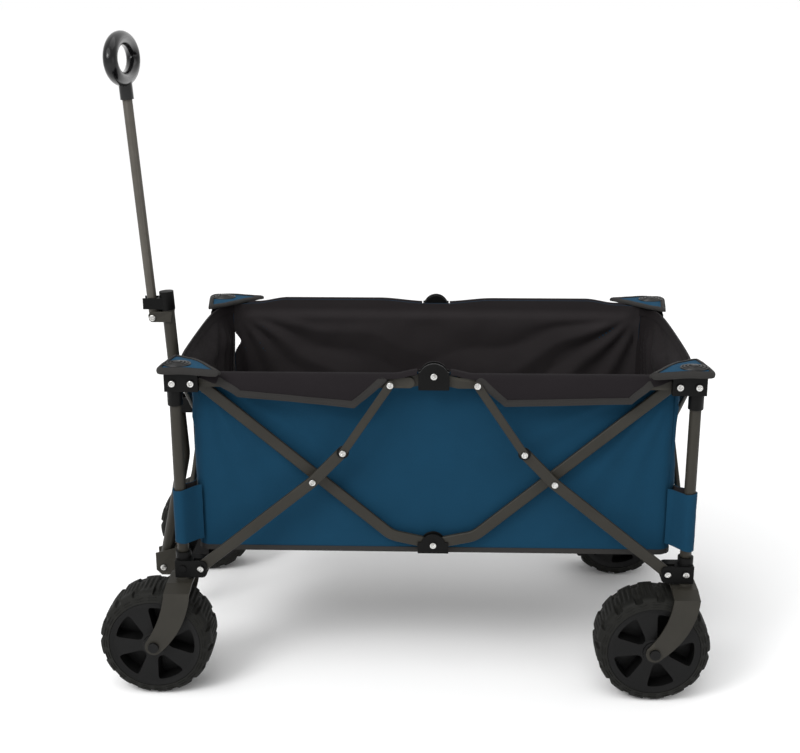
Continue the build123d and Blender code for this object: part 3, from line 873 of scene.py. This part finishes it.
def flap(e, s):
    """The rim cloth over a top rail, with its bound flap on the outside."""
    end, side = ENDS[e], SIDES[s]
    seed = 3.0 + end * 1.7 + side * 0.9
    tag = f"{e}_{s}"
    body = f"top_rail_{tag}"
    count = 90
    over = [(221.6, 549.0), (222.4, 554.0), (223.4, 559.0), (225.6, 561.8), (229.0, 562.8), (234.0, 562.2),
            (238.2, 560.8), (240.8, 558.6)]
    rows = []
    low_x, high_x = 27.0, 388.0
    for i in range(count + 1):
        x = low_x + (high_x - low_x) * i / count
        lift = 7.0 * (1 - smooth(24, 66, x)) if s == "near" else far_rise(x)
        row = [at(end, side, x, y, z + lift) for y, z in over]
        low = flap_low(x, e) + lift
        start = 556.9 + lift
        for j in range(13):
            z = start + (low - start) * j / 12
            row.append(flap_point(end, side, x, z - lift, seed) + Vector((0, 0, lift * MM)))
        rows.append(row)
    piece = cloth(f"rim_flap_{tag}", rows, 1.8, lambda p: Vector((0, side * 0.8, 0.6)),
                  [FLAP_CLOTH, LINING], body)
    first = 76.0 if e == "front" else 68.0
    edge = [(x, flap_low(x, e)) for x in [first + (352.0 - first) * i / 110 for i in range(111)]]
    tape_rows, lines = [], {2.0: [], 8.6: []}
    for i, (x, z) in enumerate(edge):
        (xa, za), (xb, zb) = edge[max(0, i - 2)], edge[min(len(edge) - 1, i + 2)]
        way = Vector((xb - xa, zb - za)).normalized()
        across = Vector((-way.y, way.x))
        row = []
        for w in (-1.0, 1.8, 4.6, 7.6, 10.8):
            q = Vector((x, z)) + across * w
            spot = flap_point(end, side, q.x, min(q.y, 557.5), seed)
            row.append(spot + Vector((0, side * 0.2 * MM, 0)))
        tape_rows.append(row)
        for w in lines:
            q = Vector((x, z)) + across * w
            spot = flap_point(end, side, q.x, min(q.y, 557.5), seed)
            lines[w].append(spot + Vector((0, side * 1.75 * MM, 0)))
    tape = cloth(f"flap_binding_{tag}", tape_rows, 3.2, lambda p: Vector((0, side, 0)), [TAPE], body)
    seam = stitches(f"flap_stitches_{tag}", list(lines.values()), body)


def stitches(name, lines, body, pitch=3.6, length=2.5, thick=0.45):
    """Thread dashes along lines of points."""
    verts, faces = [], []
    for line in lines:
        run = lengths(line)
        count = int(run[-1] / MM / pitch)
        for k in range(count):
            ends = []
            for reach in (k * pitch, k * pitch + length):
                place = min(reach * MM, run[-1] - 1e-6)
                i = next(i for i in range(1, len(run)) if run[i] >= place)
                share = (place - run[i - 1]) / max(1e-9, run[i] - run[i - 1])
                ends.append(line[i - 1].lerp(line[i], share))
            way = (ends[1] - ends[0]).normalized()
            one = way.orthogonal().normalized()
            two = way.cross(one)
            base = len(verts)
            for share, radius in ((0.0, 0.35), (0.2, 1.0), (0.8, 1.0), (1.0, 0.35)):
                for q in range(6):
                    turn = q * pi / 3
                    verts.append(ends[0].lerp(ends[1], share)
                                 + (one * cos(turn) + two * sin(turn)) * radius * thick * MM)
            for ring in range(3):
                for q in range(6):
                    a, b = base + ring * 6 + q, base + ring * 6 + (q + 1) % 6
                    faces.append((a, b, b + 6, a + 6))
            faces.append(tuple(base + q for q in reversed(range(6))))
            faces.append(tuple(base + 18 + q for q in range(6)))
    return make(name, verts, faces, [THREAD], body, "fabric")


PATCH = [(446.0, 261.0, 16.0), (434.0, 168.0, 7.0), (393.0, 196.0, 45.0), (342.0, 262.0, 7.0)]


# bound edges of a patch, as (reach past the edge, drop below it)
SKIRT = [(-6.0, -1.3), (-3.0, -1.0), (-0.5, 0.0), (1.2, 1.6), (1.8, 3.2), (1.6, 5.2), (1.0, 7.0)]
TRIM = [(-5.0, -1.2), (-2.5, -1.1), (0.0, -0.6), (1.6, 0.8), (1.9, 2.4), (1.4, 4.0)]


def patch_outline(steps=10):
    """Plan of a corner patch with its corners rounded, from the end's edge round to the side's."""
    points = []
    count = len(PATCH)
    for i in range(count):
        radius = PATCH[i][2]
        a, b, c = (Vector(PATCH[(i + k) % count][:2]) for k in (-1, 0, 1))
        into, out = (b - a).normalized(), (c - b).normalized()
        cut = min(radius, (b - a).length * 0.45, (c - b).length * 0.45)
        for k in range(steps + 1):
            t = k / steps
            points.append((b - into * cut).lerp(b, t).lerp(b.lerp(b + out * cut, t), t))
    dense = []
    for a, b in zip(points, points[1:] + points[:1]):
        parts = max(1, int((b - a).length / 6))
        dense += [a.lerp(b, k / parts) for k in range(parts)]
    return dense


def patch_height(x, y):
    """Crown of the patch over the corner block, lower towards its edges."""
    crown = 575.5 - 5.0 * smooth(10, 95, hypot(x - 416, y - 233))
    return crown + 0.8 * noise.noise(Vector((x / 18, y / 18, 1)))


def corner_patch(e, s):
    """Blue reinforcing patch over a corner, its bound skirt and its oval plastic cap."""
    end, side = ENDS[e], SIDES[s]
    tag = f"{e}_{s}"
    body = f"upper_corner_{tag}"
    line = patch_outline()
    hub_ = Vector((410.0, 228.0))
    rows = []
    for q in line + line[:1]:
        row = []
        for k in range(13):
            p = hub_.lerp(q, 0.02 + 0.98 * k / 12)
            row.append(at(end, side, p.x, p.y, patch_height(p.x, p.y) - 1.5 * (k / 12) ** 6))
        rows.append(row)
    top = closed_cloth(f"corner_patch_{tag}", rows, 2.0, [PATCH_BLUE, LINING], body)
    skirt_rows, seam_line = [], []
    start = min(range(len(line)), key=lambda i: (line[i] - Vector((434, 170))).length)
    ordered = line[start:] + line[:start]
    stop = min(range(len(ordered)), key=lambda i: (ordered[i] - Vector((344, 262))).length)
    outer = ordered[stop:] + ordered[:1]
    for i, q in enumerate(outer):
        fall = 0.35 + 0.65 * smooth(0, 5, min(i, len(outer) - 1 - i))
        a, b = outer[max(0, i - 1)], outer[min(len(outer) - 1, i + 1)]
        way = (b - a).normalized()
        out = Vector((way.y, -way.x))
        if out.dot(q - hub_) < 0:
            out = -out
        z = patch_height(q.x, q.y)
        row = []
        for reach, drop in SKIRT:
            p = q + out * reach
            row.append(at(end, side, p.x, p.y, z - (drop * fall if drop > 0 else drop) + 0.4))
        skirt_rows.append(row)
        p = q - out * 4.0
        seam_line.append(at(end, side, p.x, p.y, z + 3.0))
    skirt = cloth(f"corner_skirt_{tag}", skirt_rows, 2.6, lambda p: Vector((end * 0.4, side * 0.4, 0.8)),
                  [TAPE], body)
    seam = stitches(f"corner_stitches_{tag}", [seam_line], body)
    inner, trim_rows = ordered[:stop + 1], []
    for i, q in enumerate(inner):
        a, b = inner[max(0, i - 1)], inner[min(len(inner) - 1, i + 1)]
        way = (b - a).normalized()
        out = Vector((way.y, -way.x))
        if out.dot(q - hub_) < 0:
            out = -out
        row = []
        for reach, drop in TRIM:
            p = q + out * reach
            row.append(at(end, side, p.x, p.y, patch_height(q.x, q.y) - drop + 0.3))
        trim_rows.append(row)
    trim = cloth(f"corner_trim_{tag}", trim_rows, 2.2, lambda p: Vector((0, 0, 1)), [TAPE], body)
    oval_cap(end, side, tag, body)


def closed_cloth(name, rows, thick, mats, body):
    """A thick disc of cloth from spokes of points, the first and last spoke being the same line."""
    count, m = len(rows) - 1, len(rows[0])
    up = Vector((0, 0, thick * MM / 2))
    top = [rows[i][j] + up for i in range(count) for j in range(m)]
    low = [rows[i][j] - up for i in range(count) for j in range(m)]
    middle = sum((rows[i][0] for i in range(count)), Vector()) / count
    size = count * m
    verts = top + low + [middle + up, middle - up]
    faces, slots = [], []
    for i in range(count):
        n = (i + 1) % count
        for j in range(m - 1):
            quad = (i * m + j, i * m + j + 1, n * m + j + 1, n * m + j)
            faces += [quad, tuple(size + q for q in reversed(quad))]
            slots += [0, 1]
        faces += [(n * m, 2 * size, i * m), (size + i * m, 2 * size + 1, size + n * m)]
        slots += [0, 1]
        a, b = i * m + m - 1, n * m + m - 1
        faces.append((a, size + a, size + b, b))
        slots.append(0)
    uvs = [(v.x, v.y) for v in verts]
    return make(name, verts, outward(verts, faces), mats, body, "fabric", slots, uvs)


def oval_cap(end, side, tag, body):
    """Oval moulded cap with stepped rings and a round button in the middle."""
    x, y = 417.0, 233.0
    z = patch_height(x, y) + 0.6
    steps = [(1.0, -1.0), (1.0, 1.4), (0.965, 2.4), (0.90, 2.6), (0.86, 1.2), (0.80, 1.2), (0.76, 3.4),
             (0.68, 3.6), (0.63, 2.0), (0.56, 2.0), (0.52, 4.4), (0.44, 4.6), (0.38, 2.8), (0.30, 2.8),
             (0.26, 5.4), (0.16, 5.9), (0.05, 6.0)]
    rings = []
    for share, rise in steps:
        ring = []
        for k in range(64):
            a = 2 * pi * k / 64
            ring.append(at(end, side, x + 23.0 * share * cos(a), y + 18.0 * share * sin(a), z + rise))
        rings.append(ring)
    verts, faces = skin(rings)
    make(f"corner_cap_{tag}", verts, faces, [CAP], body, "black_plastic", sharp=35)


def sleeve(e, s):
    """Blue cloth loop that ties the bag to a post; it slides up the post with the bag."""
    end, side = ENDS[e], SIDES[s]
    tag = f"{e}_{s}"
    plan = [Vector((390.0, 215.6)), Vector((398.0, 221.0))]
    for k in range(15):
        turn = radians(128 - 176 * k / 14)
        plan.append(Vector((POST_X + 11.6 * cos(turn), POST_Y + 11.6 * sin(turn))))
    plan += [Vector((421.0, 215.0)), Vector((408.0, 206.0)), Vector((402.5, 196.0))]
    plan = [a.lerp(b, k / 3) for a, b in zip(plan, plan[1:]) for k in range(3)] + plan[-1:]
    rows = []
    for i, q in enumerate(plan):
        share = i / (len(plan) - 1)
        row = []
        sag = 5.0 * sin(pi * share) * (1 if e == "front" else -1)
        for j in range(13):
            z = 263.0 + sag * 0.6 + (98.0 - sag) * j / 12
            wrinkle = 0.5 * noise.noise(Vector((share * 6, z / 14, end * 3 + side)))
            away = (q - Vector((POST_X, POST_Y))).normalized() * wrinkle
            row.append(at(end, side, q.x + away.x, q.y + away.y, z))
        rows.append(row)
    hub_ = at(end, side, POST_X - 6, POST_Y - 6, 0)
    piece = cloth(f"post_sleeve_{tag}", rows, 1.6,
                  lambda p: Vector((p.x - hub_.x, p.y - hub_.y, 0)).normalized(), [BLUE, LINING],
                  f"upper_corner_{tag}")


def bag():
    for e, s in CORNERS:
        bag_walls(e, s)
        bag_floor(e, s)
        flap(e, s)
        corner_patch(e, s)
        sleeve(e, s)


# ---------------------------------------------------------------- studio

def place_light(light, spot, aim):
    obj = bpy.data.objects.new(light.name, light)
    obj.location = spot
    obj.rotation_euler = (Vector(aim) - Vector(spot)).to_track_quat("-Z", "Y").to_euler()
    bpy.context.scene.collection.objects.link(obj)


def studio():
    """Pale floor, soft light and the camera."""
    world = bpy.data.worlds.new("studio")
    bpy.context.scene.world = world
    world.use_nodes = True
    tree = world.node_tree
    height = node(tree, "SeparateXYZ", Vector=coordinates(tree, "Generated")).outputs["Z"]
    glow = ramp(tree, height, [(0.0, (1.0, 1.0, 1.0)), (0.12, (1.0, 1.0, 1.0)), (0.3, (0.7, 0.7, 0.7))])
    tree.links.new(glow, tree.nodes["Background"].inputs["Color"])
    mesh = bpy.data.meshes.new("floor")
    reach = 60.0
    mesh.from_pydata([(-reach, -reach, 0), (reach, -reach, 0), (reach, reach, 0), (-reach, reach, 0)], [],
                     [(0, 1, 2, 3)])
    floor = bpy.data.objects.new("floor", mesh)
    mesh.materials.append(new_material("floor", (0.97, 0.97, 0.97), 0.9, specular=0.1)[0])
    bpy.context.scene.collection.objects.link(floor)
    for name, spot, power, size in (
        ("key", (-1.9, -2.4, 3.0), 55.0, 1.3),
        ("fill", (2.8, -2.2, 1.5), 10.0, 2.4),
        ("top", (0.2, 0.9, 3.4), 12.0, 2.2),
    ):
        light = bpy.data.lights.new(name, "AREA")
        light.energy, light.size = power, size
        place_light(light, spot, (0.05, 0, 0.35))
    sun = bpy.data.lights.new("sun", "SUN")
    sun.energy, sun.angle = 1.4, radians(60)
    place_light(sun, (-1.3, -2.2, 3.2), (0, 0, 0))
    data = bpy.data.cameras.new("camera")
    data.sensor_width, data.lens = 36, 58.07
    camera = bpy.data.objects.new("camera", data)
    yaw, pitch, roll = 0.0344, 0.2962, -0.0024
    ahead = Vector((-sin(yaw) * cos(pitch), cos(yaw) * cos(pitch), -sin(pitch)))
    right = ahead.cross(Vector((0, 0, 1))).normalized()
    turn = Matrix((right, right.cross(ahead), -ahead)).transposed().to_4x4()
    camera.matrix_world = Matrix.Translation((0.0631, -2.2278, 1.1674)) @ turn @ Matrix.Rotation(roll, 4, "Z")
    bpy.context.scene.collection.objects.link(camera)
    bpy.context.scene.camera = camera
    bpy.context.scene.view_settings.view_transform = "Standard"


hardware()
for corner in CORNERS:
    wheel(*corner)
bag()
studio()
